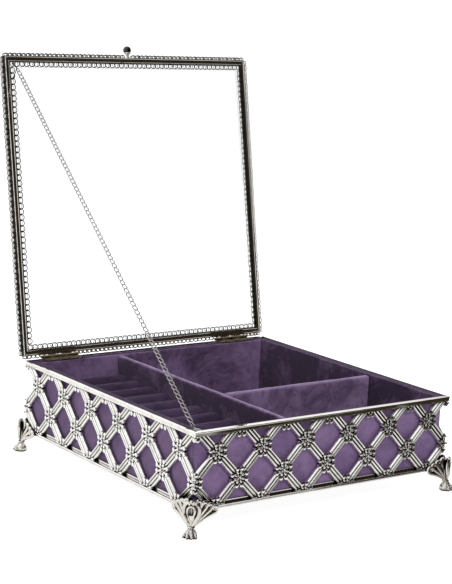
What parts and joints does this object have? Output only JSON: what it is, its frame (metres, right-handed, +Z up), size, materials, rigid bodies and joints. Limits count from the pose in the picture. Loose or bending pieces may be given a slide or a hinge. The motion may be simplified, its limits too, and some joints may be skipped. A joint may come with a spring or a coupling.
{
  "type": "jewellery box",
  "caption": "Square velvet-lined trinket box in a cast lattice on claw feet, with divided compartments, ring rolls and a hinged bevelled-glass lid held open by a chain.",
  "frame": {"origin": "on the surface the feet stand on, under the middle of the whole box with its lid open", "axes": "+Z up, +Y to the back where the lid is hinged, +X along the front towards the right; the lid's knob edge faces -Y when closed"},
  "size_m": [0.254, 0.3025, 0.3266],
  "materials": {
    "cast_plate": "bright nickel-silver plate over cast metal, dark in the hollows",
    "plated_frame": "bright nickel-silver plate, polished",
    "plated_wire": "bright plated wire",
    "velvet_walls": "short-pile purple velvet glued over board",
    "velvet_dividers": "short-pile purple velvet glued over board",
    "velvet_lining": "short-pile purple velvet over foam",
    "felt": "dark felt",
    "board": "plain board, covered",
    "clear_glass": "clear bevelled glass",
    "aged_brass": "aged brass",
    "screws": "plated steel"
  },
  "bodies": {
    "box": {"base_felt": "felt", "bottom_board": "board", "bottom_rail_back": "plated_frame", "bottom_rail_front": "plated_frame", "bottom_rail_left": "plated_frame", "bottom_rail_right": "plated_frame", "chain_eye": "plated_wire", "cross_divider": "velvet_dividers", "floor_pad_back": "velvet_lining", "floor_pad_front": "velvet_lining", "foot_back_left": "cast_plate", "foot_back_right": "cast_plate", "foot_front_left": "cast_plate", "foot_front_right": "cast_plate", "foot_screws": "screws", "hinge_box_leaf_left": "aged_brass", "hinge_box_leaf_right": "aged_brass", "hinge_pin_left": "aged_brass", "hinge_pin_right": "aged_brass", "hinge_screws": "screws", "lattice_back": "cast_plate", "lattice_front": "cast_plate", "lattice_left": "cast_plate", "lattice_right": "cast_plate", "long_divider": "velvet_dividers", "ring_roll_01": "velvet_lining", "ring_roll_02": "velvet_lining", "ring_roll_03": "velvet_lining", "ring_roll_04": "velvet_lining", "ring_roll_05": "velvet_lining", "ring_roll_06": "velvet_lining", "ring_roll_07": "velvet_lining", "ring_roll_08": "velvet_lining", "ring_roll_09": "velvet_lining", "ring_roll_10": "velvet_lining", "ring_roll_seat": "velvet_lining", "top_rim_back": "plated_frame", "top_rim_front": "plated_frame", "top_rim_left": "plated_frame", "top_rim_right": "plated_frame", "wall_back": "velvet_walls", "wall_front": "velvet_walls", "wall_left": "velvet_walls", "wall_right": "velvet_walls"},
    "lid": {"chain_bail": "plated_wire", "hinge_lid_leaf_left": "aged_brass", "hinge_lid_leaf_right": "aged_brass", "lid_glass": "clear_glass", "lid_knob_ball": "plated_wire", "lid_knob_cup": "plated_wire", "lid_lace_inner": "plated_wire", "lid_lace_outer": "plated_wire", "lid_lace_upper": "plated_wire", "lid_rail_back": "plated_frame", "lid_rail_front": "plated_frame", "lid_rail_left": "plated_frame", "lid_rail_right": "plated_frame"},
    "chain_lower_half": {"chain_lower": "plated_wire"},
    "chain_upper_half": {"chain_upper": "plated_wire"}
  },
  "joints": [
    {"name": "lid_hinge", "type": "hinge", "parent": "box", "child": "lid", "pos_m": [0, 0.09905, 0.0762], "axis": [1, 0, 0], "range_deg": [0, 100.7], "deforming": ["chain_lower", "chain_upper"]},
    {"name": "chain_box_pivot", "type": "hinge", "parent": "box", "child": "chain_lower_half", "pos_m": [-0.1103, -0.12665, 0.0747], "axis": [-0.9994, 0.0232, -0.0247], "range_deg": [0, 44.73]},
    {"name": "chain_lid_pivot", "type": "hinge", "parent": "lid", "child": "chain_upper_half", "pos_m": [-0.1098, 0.14184, 0.30697], "axis": [0.9971, -0.0505, 0.0562], "range_deg": [0, 34.65]}
  ],
  "couplings": [
    {"joint": "chain_box_pivot", "follows": "lid_hinge", "ratio": 0.44413},
    {"joint": "chain_lid_pivot", "follows": "lid_hinge", "ratio": 0.34397}
  ]
}
